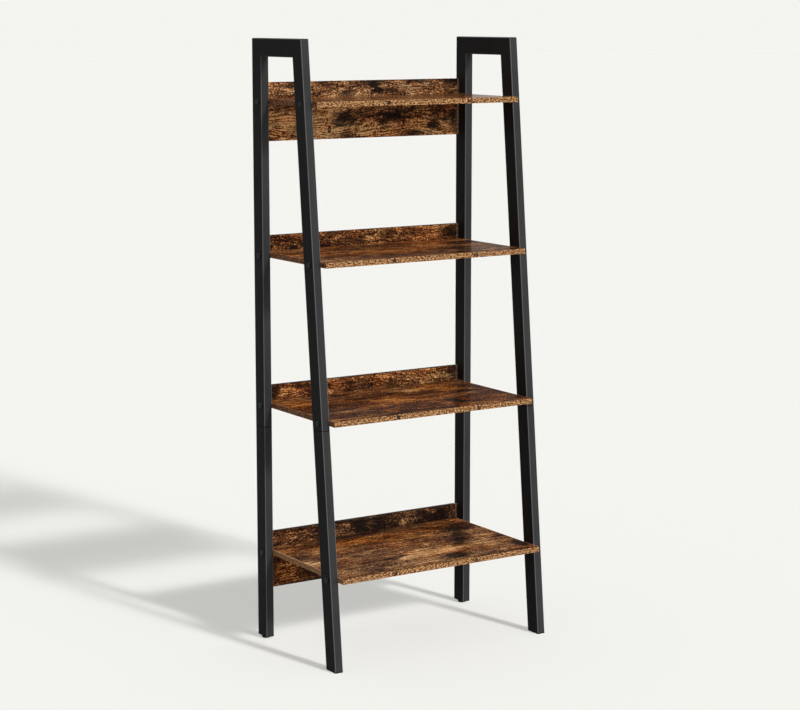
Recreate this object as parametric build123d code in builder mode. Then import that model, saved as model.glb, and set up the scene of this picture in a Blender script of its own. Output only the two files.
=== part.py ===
from build123d import *
import math
import os

# Ladder shelf: two leaning steel side frames, four shelves and four back boards.
# X to the right, front faces -Y, +Z up, origin on the floor under the middle. Millimetres.

# Side frames: width over both, depth from their rear face to the bottom shelf's front edge
FRAME_WIDTH = 565.0
OVERALL_DEPTH = 345.0
FRONT_LEAN = 5.46
HEADROOM = 132.0

# Steel tube of the side frames
TUBE_WIDTH = 20.0
TUBE_DEPTH = 40.0
TUBE_WALL = 1.2
TUBE_CORNER = 2.5
FRAME_CORNER = 3.0

# Seams between the upper frames and the lower legs, below the bolts of the last shelf but one,
# and the splice tubes inside them, which those bolts pass through
REAR_SEAM_DROP = 48.0
FRONT_SEAM_DROP = 17.0
SEAM_CHAMFER = 0.5
SPLICE_BELOW_SEAM = 70.0
SPLICE_PAST_BOLT = 22.0
SPLICE_WALL = 1.5
SPLICE_FIT = 0.1

# Shelves, with bands on their front and end edges, and back boards
SHELF_COUNT = 4
BOTTOM_SHELF_HEIGHT = 208.0
SHELF_PITCH = 340.0
BOARD_THICKNESS = 12.0
SHELF_REACH = 21.0
EDGE_BAND = 1.0
BAND_ROUND = 0.4
BACK_LIP = 35.0
TALL_BACK = 130.0

# Bolts through the legs, and the threaded sleeves in the shelf ends that take them
BOLT_RADIUS = 3.0
BOLT_HOLE_CLEARANCE = 0.3
BOLT_HEAD_RADIUS = 6.5
BOLT_HEAD_HEIGHT = 3.2
BOLT_HEAD_ROUND = 2.4
BOLT_ENGAGEMENT = 14.0
BOLT_KEY_RADIUS = 2.2
BOLT_KEY_DEPTH = 1.8
BOLT_SETBACK = 25.0
SLEEVE_WALL = 1.0
SLEEVE_RUNOUT = 2.0
THREAD_FIT = 0.05

# Countersunk screws through the back boards into the shelf edges
SCREW_COUNT = 3
SCREW_INSET = 62.5
SCREW_RADIUS = 2.0
SCREW_HEAD_RADIUS = 4.0
SCREW_HEAD_ANGLE = 45.0
SCREW_LENGTH = 35.0
SCREW_TIP_GAP = 0.5
SLOT_LENGTH = 4.4
SLOT_WIDTH = 0.9
SLOT_DEPTH = 1.0

# Rear levelling feet and the end plugs that carry them
FOOT_LIFT = 5.0
PAD_RADIUS = 9.3
PAD_GAP = 0.4
PAD_FLOOR = 1.6
PAD_ROUND = 1.4
PAD_FLUTES = 12
FLUTE_RADIUS = 0.8
STUD_RADIUS = 4.0
STUD_LENGTH = 32.0
STUD_CHAMFER = 0.8
PLUG_FLANGE = 1.5
PLUG_LENGTH = 26.0
PLUG_FIT = 0.1

# Front end caps
CAP_FLANGE = 3.0
CAP_LENGTH = 22.0
CAP_ROUND = 1.0

# Worked out from the sizes above
SIDES = {"left": -1, "right": 1}
FRAME_HEIGHT = BOTTOM_SHELF_HEIGHT + SHELF_PITCH * (SHELF_COUNT - 1) + HEADROOM
REAR_Y = OVERALL_DEPTH / 2
LEAN = math.radians(FRONT_LEAN)
LEG_DIRECTION = Vector(0, math.sin(LEAN), math.cos(LEAN))
TUBE_DEPTH_LEVEL = TUBE_DEPTH / math.cos(LEAN)
INNER_WIDTH = TUBE_WIDTH - 2 * TUBE_WALL
INNER_DEPTH = TUBE_DEPTH - 2 * TUBE_WALL
INNER_CORNER = TUBE_CORNER - TUBE_WALL
LEG_X = (FRAME_WIDTH - TUBE_WIDTH) / 2
LEG_INNER_X = FRAME_WIDTH / 2 - TUBE_WIDTH
SHELF_END_X = LEG_INNER_X - EDGE_BAND
REAR_LEG_Y = REAR_Y - TUBE_DEPTH / 2
REAR_LEG_FOOT = FOOT_LIFT + PLUG_FLANGE
BOARD_FRONT_Y = REAR_Y - BOARD_THICKNESS
RAIL_UNDERSIDE = FRAME_HEIGHT - TUBE_DEPTH
SLEEVE_RADIUS = BOLT_RADIUS + SLEEVE_WALL
SLEEVE_LENGTH = BOLT_ENGAGEMENT + SLEEVE_RUNOUT
BOLT_LENGTH = TUBE_WIDTH + EDGE_BAND + BOLT_ENGAGEMENT
SCREW_PITCH = 2 * (LEG_INNER_X - SCREW_INSET) / (SCREW_COUNT - 1)
PAD_HEIGHT = FOOT_LIFT - PAD_GAP
SCREW_HEAD_DEPTH = (SCREW_HEAD_RADIUS - SCREW_RADIUS) / math.tan(math.radians(SCREW_HEAD_ANGLE))
SHELF_TOPS = [BOTTOM_SHELF_HEIGHT + SHELF_PITCH * i for i in reversed(range(SHELF_COUNT))]
SPLICE_BOLT_HEIGHT = SHELF_TOPS[-2] - BOARD_THICKNESS / 2
REAR_SEAM_HEIGHT = SPLICE_BOLT_HEIGHT - REAR_SEAM_DROP
FRONT_SEAM_HEIGHT = SPLICE_BOLT_HEIGHT - FRONT_SEAM_DROP
FRONT_SEAM_ALONG = FRONT_SEAM_HEIGHT / math.cos(LEAN)


def shelf_front_y(height):
    """Front edge of a shelf whose top is at this height."""
    return REAR_Y - OVERALL_DEPTH + math.tan(LEAN) * (height - BOTTOM_SHELF_HEIGHT)


def front_leg_y(height):
    """Middle of the leaning front leg at this height."""
    return shelf_front_y(height) + SHELF_REACH + TUBE_DEPTH_LEVEL / 2


def front_leg_plane(side):
    """Plane square across the front leg where its middle line meets the floor."""
    return Plane(origin=(side * LEG_X, front_leg_y(0), 0), x_dir=(1, 0, 0), z_dir=LEG_DIRECTION)


def mid_board(shelf_top):
    return shelf_top - BOARD_THICKNESS / 2


def rear_bolt(shelf_top):
    """Place of a shelf's bolt in the rear leg, as (y, z)."""
    return (REAR_Y - BOLT_SETBACK, mid_board(shelf_top))


def front_bolt(shelf_top):
    """Place of a shelf's bolt in the front leg, as (y, z)."""
    leg_rear_y = front_leg_y(mid_board(shelf_top)) + TUBE_DEPTH_LEVEL / 2
    return (leg_rear_y - BOLT_SETBACK, mid_board(shelf_top))


def screw_places(shelf_top):
    """Places of one back board's screws, as (x, z)."""
    first = SCREW_INSET - LEG_INNER_X
    return [(first + SCREW_PITCH * i, mid_board(shelf_top)) for i in range(SCREW_COUNT)]


def back_board_height(index):
    """The top and bottom boards are tall, the others only make a lip behind their shelf."""
    if index in (0, SHELF_COUNT - 1):
        return TALL_BACK
    return BACK_LIP + BOARD_THICKNESS


def circles_across(x, radius, places):
    """Circles of one size on a plane square to X, at (y, z) places."""
    with BuildSketch(Plane.YZ.offset(x)) as circles:
        with Locations(*places):
            Circle(radius)
    return circles.sketch


def bolt_holes(side, places):
    return circles_across(side * LEG_X, BOLT_RADIUS + BOLT_HOLE_CLEARANCE, places)


def tube_section():
    RectangleRounded(TUBE_WIDTH, TUBE_DEPTH, TUBE_CORNER)
    RectangleRounded(INNER_WIDTH, INNER_DEPTH, INNER_CORNER, mode=Mode.SUBTRACT)


def splice_section():
    width = INNER_WIDTH - 2 * SPLICE_FIT
    depth = INNER_DEPTH - 2 * SPLICE_FIT
    RectangleRounded(width, depth, INNER_CORNER)
    Rectangle(width - 2 * SPLICE_WALL, depth - 2 * SPLICE_WALL, mode=Mode.SUBTRACT)


def mitre_plane(start, end):
    """Cut plane across X through two corners given as (y, z), with the top rail on its upper side."""
    run = Vector(0, end[0] - start[0], end[1] - start[1])
    return Plane(origin=(0, start[0], start[1]), x_dir=(1, 0, 0), z_dir=run.cross(Vector(1, 0, 0)))


REAR_BOLTS = [rear_bolt(top) for top in SHELF_TOPS]
FRONT_BOLTS = [front_bolt(top) for top in SHELF_TOPS]
FRONT_TOP_Y = front_leg_y(FRAME_HEIGHT) - TUBE_DEPTH_LEVEL / 2
FRONT_INNER_Y = front_leg_y(RAIL_UNDERSIDE) + TUBE_DEPTH_LEVEL / 2
REAR_MITRE = mitre_plane((REAR_Y, FRAME_HEIGHT), (REAR_Y - TUBE_DEPTH, RAIL_UNDERSIDE))
FRONT_MITRE = mitre_plane((FRONT_INNER_Y, RAIL_UNDERSIDE), (FRONT_TOP_Y, FRAME_HEIGHT))


def frame_outline(side):
    """Side view of the frame, with its two outer top corners rounded."""
    floor_y = front_leg_y(0) - TUBE_DEPTH_LEVEL / 2
    corners = [(REAR_Y, 0), (REAR_Y, FRAME_HEIGHT), (FRONT_TOP_Y, FRAME_HEIGHT), (floor_y, 0)]
    with BuildSketch(Plane.YZ.offset(side * LEG_X)) as outline:
        with BuildLine():
            Polyline(*corners, close=True)
        make_face()
        fillet(outline.vertices().group_by(Axis.Y)[-1], FRAME_CORNER)
    return outline.sketch


def save(part, name):
    part.label = name
    export_step(part, f"parts/{name}.step")


def rear_upper_tube(side):
    with BuildPart() as tube:
        with BuildSketch(Plane.XY.offset(REAR_SEAM_HEIGHT)):
            with Locations((side * LEG_X, REAR_LEG_Y)):
                tube_section()
        extrude(amount=FRAME_HEIGHT - REAR_SEAM_HEIGHT)
        seam = tube.faces().sort_by(Axis.Z)[0]
        chamfer(seam.outer_wire().edges(), SEAM_CHAMFER)
        split(bisect_by=REAR_MITRE, keep=Keep.BOTTOM)
        extrude(frame_outline(side), amount=TUBE_WIDTH, both=True, mode=Mode.INTERSECT)
        extrude(bolt_holes(side, REAR_BOLTS), amount=TUBE_WIDTH, both=True, mode=Mode.SUBTRACT)
    return tube.part


def top_rail(side):
    with BuildPart() as rail:
        with BuildSketch(Plane.XZ.offset(-REAR_Y)):
            with Locations((side * LEG_X, FRAME_HEIGHT - TUBE_DEPTH / 2)):
                tube_section()
        extrude(amount=REAR_Y - FRONT_TOP_Y)
        split(bisect_by=REAR_MITRE, keep=Keep.TOP)
        split(bisect_by=FRONT_MITRE, keep=Keep.TOP)
        extrude(frame_outline(side), amount=TUBE_WIDTH, both=True, mode=Mode.INTERSECT)
    return rail.part


def front_upper_tube(side):
    with BuildPart() as tube:
        with BuildSketch(front_leg_plane(side).offset(FRONT_SEAM_ALONG)):
            tube_section()
        extrude(amount=FRAME_HEIGHT - FRONT_SEAM_HEIGHT + TUBE_DEPTH)
        seam = tube.faces().sort_by(Axis.Z)[0]
        chamfer(seam.outer_wire().edges(), SEAM_CHAMFER)
        split(bisect_by=FRONT_MITRE, keep=Keep.BOTTOM)
        extrude(frame_outline(side), amount=TUBE_WIDTH, both=True, mode=Mode.INTERSECT)
        extrude(bolt_holes(side, FRONT_BOLTS), amount=TUBE_WIDTH, both=True, mode=Mode.SUBTRACT)
    return tube.part


def rear_lower_leg(side):
    with BuildPart() as leg:
        with BuildSketch(Plane.XY.offset(REAR_LEG_FOOT)):
            with Locations((side * LEG_X, REAR_LEG_Y)):
                tube_section()
        extrude(amount=REAR_SEAM_HEIGHT - REAR_LEG_FOOT)
        seam = leg.faces().sort_by(Axis.Z)[-1]
        chamfer(seam.outer_wire().edges(), SEAM_CHAMFER)
        extrude(bolt_holes(side, REAR_BOLTS), amount=TUBE_WIDTH, both=True, mode=Mode.SUBTRACT)
    return leg.part


def front_lower_leg(side):
    with BuildPart() as leg:
        with BuildSketch(front_leg_plane(side).offset(FRONT_SEAM_ALONG)):
            tube_section()
        extrude(amount=-FRONT_SEAM_ALONG - TUBE_DEPTH)
        seam = leg.faces().sort_by(Axis.Z)[-1]
        chamfer(seam.outer_wire().edges(), SEAM_CHAMFER)
        split(bisect_by=Plane.XY.offset(CAP_FLANGE), keep=Keep.TOP)
        extrude(bolt_holes(side, FRONT_BOLTS), amount=TUBE_WIDTH, both=True, mode=Mode.SUBTRACT)
    return leg.part


def rear_splice(side):
    with BuildPart() as splice:
        with BuildSketch(Plane.XY.offset(REAR_SEAM_HEIGHT - SPLICE_BELOW_SEAM)):
            with Locations((side * LEG_X, REAR_LEG_Y)):
                splice_section()
        extrude(amount=SPLICE_BELOW_SEAM + REAR_SEAM_DROP + SPLICE_PAST_BOLT)
        extrude(bolt_holes(side, REAR_BOLTS), amount=TUBE_WIDTH, both=True, mode=Mode.SUBTRACT)
    return splice.part


def front_splice(side):
    with BuildPart() as splice:
        with BuildSketch(front_leg_plane(side).offset(FRONT_SEAM_ALONG - SPLICE_BELOW_SEAM)):
            splice_section()
        extrude(amount=SPLICE_BELOW_SEAM + FRONT_SEAM_DROP + SPLICE_PAST_BOLT)
        extrude(bolt_holes(side, FRONT_BOLTS), amount=TUBE_WIDTH, both=True, mode=Mode.SUBTRACT)
    return splice.part


def shelf_board(top):
    front_y = shelf_front_y(top) + EDGE_BAND
    with BuildPart() as shelf:
        with BuildSketch(Plane.XY.offset(top)):
            with Locations((0, (front_y + BOARD_FRONT_Y) / 2)):
                Rectangle(2 * SHELF_END_X, BOARD_FRONT_Y - front_y)
        extrude(amount=-BOARD_THICKNESS)
        for side in SIDES.values():
            end_x = side * SHELF_END_X
            sockets = circles_across(end_x, SLEEVE_RADIUS + THREAD_FIT, [rear_bolt(top), front_bolt(top)])
            extrude(sockets, amount=SLEEVE_LENGTH, dir=(-side, 0, 0), mode=Mode.SUBTRACT)
        with BuildSketch(Plane.XZ.offset(-BOARD_FRONT_Y)):
            with Locations(*screw_places(top)):
                Circle(SCREW_RADIUS + THREAD_FIT)
        extrude(amount=SCREW_LENGTH - BOARD_THICKNESS + SCREW_TIP_GAP, mode=Mode.SUBTRACT)
    return shelf.part


def front_band(top):
    with BuildPart() as band:
        with BuildSketch(Plane.XY.offset(top)):
            with Locations((0, shelf_front_y(top) + EDGE_BAND / 2)):
                Rectangle(2 * LEG_INNER_X, EDGE_BAND)
        extrude(amount=-BOARD_THICKNESS)
        fillet(band.faces().sort_by(Axis.Y)[0].edges().filter_by(Axis.X), BAND_ROUND)
    return band.part


def end_band(side, top):
    front_y = shelf_front_y(top) + EDGE_BAND
    with BuildPart() as band:
        with BuildSketch(Plane.XY.offset(top)):
            with Locations((side * (LEG_INNER_X - EDGE_BAND / 2), (front_y + BOARD_FRONT_Y) / 2)):
                Rectangle(EDGE_BAND, BOARD_FRONT_Y - front_y)
        extrude(amount=-BOARD_THICKNESS)
        outer_face = band.faces().sort_by(lambda face: side * face.center().X)[-1]
        fillet(outer_face.edges().filter_by(Axis.Y), BAND_ROUND)
        holes = bolt_holes(side, [rear_bolt(top), front_bolt(top)])
        extrude(holes, amount=TUBE_WIDTH, both=True, mode=Mode.SUBTRACT)
    return band.part


def back_board(index, top):
    with BuildPart() as board:
        with BuildSketch(Plane.XY.offset(top + BACK_LIP)):
            with Locations((0, REAR_Y - BOARD_THICKNESS / 2)):
                Rectangle(2 * LEG_INNER_X, BOARD_THICKNESS)
        extrude(amount=-back_board_height(index))
        head_angle = 2 * SCREW_HEAD_ANGLE
        for x, z in screw_places(top):
            with Locations(Plane(origin=(x, REAR_Y, z), x_dir=(1, 0, 0), z_dir=(0, 1, 0))):
                CounterSinkHole(SCREW_RADIUS + THREAD_FIT, SCREW_HEAD_RADIUS + THREAD_FIT, None, head_angle)
    return board.part


def shelf_bolts(side):
    places = REAR_BOLTS + FRONT_BOLTS
    seat_x = side * FRAME_WIDTH / 2
    outward = (side, 0, 0)
    inward = (-side, 0, 0)
    with BuildPart() as bolts:
        extrude(circles_across(seat_x, BOLT_HEAD_RADIUS, places), amount=BOLT_HEAD_HEIGHT, dir=outward)
        crowns = bolts.edges().group_by(lambda edge: side * edge.center().X)[-1]
        fillet(crowns, BOLT_HEAD_ROUND)
        with BuildSketch(Plane.YZ.offset(seat_x + side * BOLT_HEAD_HEIGHT)):
            with Locations(*places):
                RegularPolygon(BOLT_KEY_RADIUS, 6)
        extrude(amount=BOLT_KEY_DEPTH, dir=inward, mode=Mode.SUBTRACT)
        extrude(circles_across(seat_x, BOLT_RADIUS, places), amount=BOLT_LENGTH, dir=inward)
    return bolts.part


def thread_sleeves(side):
    places = REAR_BOLTS + FRONT_BOLTS
    end_x = side * SHELF_END_X
    inward = (-side, 0, 0)
    with BuildPart() as sleeves:
        extrude(circles_across(end_x, SLEEVE_RADIUS, places), amount=SLEEVE_LENGTH, dir=inward)
        bore = circles_across(end_x, BOLT_RADIUS + THREAD_FIT, places)
        extrude(bore, amount=SLEEVE_LENGTH, dir=inward, mode=Mode.SUBTRACT)
    return sleeves.part


def back_board_screws():
    places = [place for top in SHELF_TOPS for place in screw_places(top)]
    rear = Plane.XZ.offset(-REAR_Y)
    with BuildPart() as screws:
        with BuildSketch(rear):
            with Locations(*places):
                Circle(SCREW_HEAD_RADIUS)
        extrude(amount=SCREW_HEAD_DEPTH, taper=SCREW_HEAD_ANGLE)
        with BuildSketch(rear):
            with Locations(*places):
                Circle(SCREW_RADIUS)
        extrude(amount=SCREW_LENGTH)
        with BuildSketch(rear):
            with Locations(*places):
                Rectangle(SLOT_LENGTH, SLOT_WIDTH)
                Rectangle(SLOT_WIDTH, SLOT_LENGTH)
        extrude(amount=SLOT_DEPTH, mode=Mode.SUBTRACT)
    return screws.part


def rear_plug(side):
    with BuildPart() as plug:
        with BuildSketch(Plane.XY.offset(FOOT_LIFT)):
            with Locations((side * LEG_X, REAR_LEG_Y)):
                RectangleRounded(TUBE_WIDTH, TUBE_DEPTH, TUBE_CORNER)
        extrude(amount=PLUG_FLANGE)
        with BuildSketch(Plane.XY.offset(REAR_LEG_FOOT)):
            with Locations((side * LEG_X, REAR_LEG_Y)):
                RectangleRounded(INNER_WIDTH - 2 * PLUG_FIT, INNER_DEPTH - 2 * PLUG_FIT, INNER_CORNER)
        extrude(amount=PLUG_LENGTH)
        with Locations((side * LEG_X, REAR_LEG_Y, FOOT_LIFT)):
            Hole(STUD_RADIUS + THREAD_FIT)
    return plug.part


def levelling_stud(side):
    with BuildPart() as stud:
        with BuildSketch(Plane.XY.offset(PAD_FLOOR)):
            with Locations((side * LEG_X, REAR_LEG_Y)):
                Circle(STUD_RADIUS)
        extrude(amount=STUD_LENGTH)
        chamfer(stud.faces().sort_by(Axis.Z)[-1].edges(), STUD_CHAMFER)
    return stud.part


def foot_pad(side):
    with BuildPart() as pad:
        with BuildSketch():
            with Locations((side * LEG_X, REAR_LEG_Y)):
                Circle(PAD_RADIUS)
        extrude(amount=PAD_HEIGHT)
        fillet(pad.faces().sort_by(Axis.Z)[0].edges(), PAD_ROUND)
        with BuildSketch():
            with Locations((side * LEG_X, REAR_LEG_Y)):
                with PolarLocations(PAD_RADIUS, PAD_FLUTES):
                    Circle(FLUTE_RADIUS)
        extrude(amount=PAD_HEIGHT, mode=Mode.SUBTRACT)
        with BuildSketch(Plane.XY.offset(PAD_HEIGHT)):
            with Locations((side * LEG_X, REAR_LEG_Y)):
                Circle(STUD_RADIUS + THREAD_FIT)
        extrude(amount=PAD_FLOOR - PAD_HEIGHT, mode=Mode.SUBTRACT)
    return pad.part


def front_cap(side):
    with BuildPart() as cap:
        with BuildSketch():
            with Locations((side * LEG_X, front_leg_y(0))):
                RectangleRounded(TUBE_WIDTH, TUBE_DEPTH_LEVEL, TUBE_CORNER)
        extrude(amount=CAP_FLANGE / math.cos(LEAN), dir=LEG_DIRECTION)
        fillet(cap.faces().sort_by(Axis.Z)[0].edges(), CAP_ROUND)
        with BuildSketch(Plane.XY.offset(CAP_FLANGE)):
            with Locations((side * LEG_X, front_leg_y(CAP_FLANGE))):
                RectangleRounded(INNER_WIDTH - 2 * PLUG_FIT, INNER_DEPTH - 2 * PLUG_FIT, INNER_CORNER)
        extrude(amount=CAP_LENGTH, dir=LEG_DIRECTION)
    return cap.part


os.makedirs("parts", exist_ok=True)

# Side frames, with the hardware that belongs to one side
for side_name, side_sign in SIDES.items():
    save(rear_upper_tube(side_sign), f"{side_name}_rear_upper_tube")
    save(top_rail(side_sign), f"{side_name}_top_rail")
    save(front_upper_tube(side_sign), f"{side_name}_front_upper_tube")
    save(rear_lower_leg(side_sign), f"{side_name}_rear_lower_leg")
    save(front_lower_leg(side_sign), f"{side_name}_front_lower_leg")
    save(rear_splice(side_sign), f"{side_name}_rear_splice")
    save(front_splice(side_sign), f"{side_name}_front_splice")
    save(shelf_bolts(side_sign), f"{side_name}_shelf_bolts")
    save(thread_sleeves(side_sign), f"{side_name}_thread_sleeves")
    save(rear_plug(side_sign), f"{side_name}_rear_plug")
    save(levelling_stud(side_sign), f"{side_name}_levelling_stud")
    save(foot_pad(side_sign), f"{side_name}_foot_pad")
    save(front_cap(side_sign), f"{side_name}_front_cap")

# Shelves and back boards, numbered from the top
for shelf_index, shelf_top in enumerate(SHELF_TOPS):
    number = shelf_index + 1
    save(shelf_board(shelf_top), f"shelf_{number}")
    save(front_band(shelf_top), f"shelf_{number}_front_band")
    for side_name, side_sign in SIDES.items():
        save(end_band(side_sign, shelf_top), f"shelf_{number}_{side_name}_end_band")
    save(back_board(shelf_index, shelf_top), f"back_board_{number}")

save(back_board_screws(), "back_board_screws")
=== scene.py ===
import bpy
import bmesh
import math
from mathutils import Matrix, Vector


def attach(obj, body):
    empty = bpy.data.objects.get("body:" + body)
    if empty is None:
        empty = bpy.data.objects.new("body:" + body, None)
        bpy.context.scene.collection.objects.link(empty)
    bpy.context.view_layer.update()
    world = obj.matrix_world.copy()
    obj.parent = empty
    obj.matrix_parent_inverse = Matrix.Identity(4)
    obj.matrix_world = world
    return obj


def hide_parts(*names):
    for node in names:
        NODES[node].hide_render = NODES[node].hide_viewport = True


# Looks of the ladder shelf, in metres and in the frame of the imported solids.

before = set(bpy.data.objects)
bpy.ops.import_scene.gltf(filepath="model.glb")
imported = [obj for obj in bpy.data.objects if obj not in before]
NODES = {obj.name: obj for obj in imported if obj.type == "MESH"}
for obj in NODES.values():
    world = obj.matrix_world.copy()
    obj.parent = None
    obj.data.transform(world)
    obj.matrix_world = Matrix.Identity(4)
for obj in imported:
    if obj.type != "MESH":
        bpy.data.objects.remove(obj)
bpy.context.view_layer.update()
SIDES = ("left", "right")
MM = 0.001

# Camera: to the front left of the shelf, a little higher than its top rails, looking down at it
CAMERA_PLACE = (-2.5538, -3.9408, 1.4136)
CAMERA_TURN = 32.8907
CAMERA_TILT = 9.2098
CAMERA_LENS = 94.879
CAMERA_SENSOR = 36.0
CAMERA_SIGHT = 200.0

# Studio: a key lamp in front, a broad low fill to its right, an even light from above that casts
# no shadow, a sharper lamp in the key's direction for the floor alone, pale surroundings and a
# pale floor. A lamp is given by its turn to the right of the front, its height over the floor,
# both in degrees, its strength and its spread.
KEY_LAMP = (12.0, 27.0, 1.45, 8.0)
FILL_LAMP = (20.0, -4.0, 1.70, 60.0)
TOP_LAMP = (0.0, 90.0, 1.43, 0.0)
FLOOR_LAMP = (12.0, 27.0, 1.1, 3.5)
SURROUND = (0.20, 0.20, 0.20)
BACKDROP = (0.906, 0.905, 0.868)
BACKDROP_TOP = 0.12
FLOOR_REACH = 60.0
FLOOR_COLOUR = (0.851, 0.849, 0.815)
FLOOR_BOUNCE = (0.068, 0.0665, 0.064)

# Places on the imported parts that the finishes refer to
SHELF_TOPS = (1.228, 0.888, 0.548, 0.208)
BOARD_FRONT_Y = 0.1605
BOARD_END_X = 0.2625
BOARD_RIM_STARTS = BOARD_END_X - 5.2 * MM
BOARD_RIM_IS_FULL = BOARD_END_X - 4.4 * MM
REAR_LEG_Y = 0.1525
LEG_X = 0.2725

# Seams of the legs, drawn as a dark line of painted shade: the rear legs' height, and the front
# legs' place along their own direction
REAR_SEAM_HEIGHT = 0.494
FRONT_SEAM_ALONG = 0.52739
FRONT_LEG_FOOT = (0.0, -0.15129, 0.0)
FRONT_LEG_DIRECTION = (0.0, 0.09515, 0.99546)
REAR_LEGS_FROM_Y = 0.1
SEAM_FADES_AT = 1.3 * MM
SEAM_IS_FULL_AT = 0.5 * MM

# Threaded studs of the levelling feet
STUD_RADIUS = 0.0040
STUD_FOOT = 0.0016
STUD_LENGTH = 0.0320
STUD_END_TAPER = 0.0009
THREAD_PITCH = 0.00125
THREAD_DEPTH = 0.00072
THREAD_FLANK = 1.3
THREAD_CREST = 0.15
THREAD_STEPS_ROUND = 40
THREAD_STEPS_PER_PITCH = 6

# Colours of the wood print, from its darkest stripes to its golden ones
PRINT_COLOURS = [
    (0.00, (0.018, 0.0080, 0.0057)),
    (0.28, (0.080, 0.0285, 0.0125)),
    (0.50, (0.205, 0.080, 0.0275)),
    (0.70, (0.370, 0.165, 0.056)),
    (0.86, (0.560, 0.280, 0.101)),
    (1.00, (0.850, 0.505, 0.230)),
]
REDDISH_STAIN = (1.09, 0.88, 0.76)
GOLDEN_STAIN = (1.00, 1.01, 1.00)
AMBER_STAIN = (1.12, 0.82, 0.50)
PALE_STAIN = (1.00, 1.12, 1.34)
SMOKE_AND_PAINTED_SHADE_COLOUR = (0.012, 0.0090, 0.0078)

# Other colours, as pairs of the darker and the lighter one where a finish has both
# The back boards' top and bottom faces get painted shade, and their ends a pale band lightened as
# painted light
BOARD_EDGE_PAINTED_SHADE_COLOURS = ((0.027, 0.020, 0.017), (0.064, 0.045, 0.033))
BOARD_END_BAND_PAINTED_LIGHT_COLOURS = ((0.320, 0.200, 0.130), (0.800, 0.620, 0.470))
FRONT_BAND_COLOURS = ((0.135, 0.050, 0.017), (0.730, 0.400, 0.172))
FRONT_BAND_FLECK = (0.045, 0.021, 0.011)
BAND_KNOT_COLOUR = (0.025, 0.014, 0.010)
# The shelves' end bands: the edge band made lighter than on the front, as painted light on the
# shaded ends, and lighter still on the bottom shelf
END_BAND_PAINTED_LIGHT_COLOURS = ((0.330, 0.120, 0.055), (0.840, 0.430, 0.230))
BOTTOM_END_BAND_PAINTED_LIGHT_COLOURS = ((0.800, 0.370, 0.165), (1.000, 0.620, 0.330))
END_BAND_FLECK = (0.080, 0.030, 0.014)
POWDER_COAT_COLOURS = ((0.040, 0.040, 0.041), (0.051, 0.051, 0.052))
PLASTIC_COLOURS = ((0.020, 0.020, 0.020), (0.030, 0.030, 0.030))
BOLT_COLOURS = ((0.019, 0.019, 0.020), (0.032, 0.032, 0.033))
ZINC_COLOURS = ((0.44, 0.45, 0.47), (0.62, 0.62, 0.61))
# A painted highlight along the tubes' rounded edges
PAINTED_EDGE_HIGHLIGHT = (0.190, 0.190, 0.193)
# Painted shade in the legs' seams
PAINTED_SEAM_SHADE = (0.009, 0.009, 0.009)

# How light each board's print is, from the top, and how strong its streaks and its mottle are. The
# bottom back board's low tone is partly print and partly painted shade.
SHELF_TONES = {1: 0.33, 2: 0.35, 3: 0.29, 4: 0.38}
SHELF_FIGURE = {"streaks": 1.15, "mottle": 2.1}
BACK_TONES = {1: 0.46, 2: 0.345, 3: 0.39, 4: 0.19}
BACK_FIGURE = {"streaks": 1.5, "mottle": 2.7}

# Noise of the print and the bands: how often it swings in a metre along the board and across it,
# how many finer layers it has, and how strong these are
RAGGED_NOISE = (55.0, 120.0, 4.0, 0.65)
DRIFT_NOISE = (5.0, 9.0, 1.0, 0.5)
BROAD_NOISE = (5.5, 15.0, 2.0, 0.5)
STREAK_NOISE = (24.0, 46.0, 4.0, 0.66)
STRIPE_NOISE = (9.0, 150.0, 4.0, 0.62)
FIBRE_NOISE = (60.0, 850.0, 2.0, 0.6)
MOTTLE_NOISE = (210.0, 300.0, 2.0, 0.75)
CLOUD_NOISE = (11.0, 30.0, 4.0, 0.66)
HUE_NOISE = (8.0, 24.0, 2.0, 0.5)
CHIP_NOISE = (210.0, 330.0, 2.0, 0.7)
FLECK_NOISE = (150.0, 300.0, 2.0, 0.7)
FLECK_OFFSET = (3.1, 1.7, 2.3)

# Values between which a noise turns from nothing to full
SMOKE_STEP = (0.59, 0.70)
HUE_STEP = (0.36, 0.64)
LIGHT_CHIP_STEP = (0.45, 0.57)
DARK_CHIP_STEP = (0.52, 0.62)

# Weights of the print: how far its stripes drift sideways and how strong they are, how many fine
# rings it has in a metre, how far they bend and how well they show, and how strong gold and smoke
# are. Then its roughness and its relief, from the stripes and the fibres.
STRIPE_DRIFT = (0.0, 0.045, 0.045)
STRIPE_WEIGHT = 1.2
RINGS_PER_METRE = 150.0
RING_BEND = 11.0
RINGS_IN_GOLD = 0.20
RINGS_ELSEWHERE = 0.05
GOLD_WEIGHT = 0.30
DRIFTING_SMOKE = 0.8
SMOKE_PATCHES = 0.5
SMOOTHEST_PRINT = 0.10
FIBRE_ROUGHNESS = 0.10
STRIPE_RELIEF = 0.6
FIBRE_RELIEF = 0.4

# Marks: how far the noise frays a patch and a knot, between which shares of their reach they fade
# in, how much the heart of a knot is lightened, and how far a mark goes into the board
PATCH_FRAY = 3.2
PATCH_EDGE = (1.30, 0.40)
KNOT_FRAY = 2.4
KNOT_EDGE = (1.10, 0.70)
KNOT_HEART_EDGE = (0.42, 0.10)
KNOT_HEART = 0.7
MARK_DEPTH = 7 * MM

# Faces, by how squarely they look up or sideways: the narrow edges of a back board, with painted
# shade on top and painted light at the ends, and the two sides of a tube's rounded edge, with a
# painted highlight
BOARD_EDGE_STEP = (0.4, 0.6)
TUBE_EDGE_FROM = (0.20, 0.50)
TUBE_EDGE_TO = (0.98, 0.86)

# Surfaces: mirror-like shine, which is faint, and relief as its strength and its height
LAMINATE_SHINE = 0.005
LAMINATE_RELIEF = (0.06, 0.0004)
BAND_SHINE = 0.03
BAND_RELIEF = (0.2, 0.0003)
ZINC_RELIEF = (0.15, 0.0002)
COAT_RELIEF_HEIGHT = 0.0002

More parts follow.
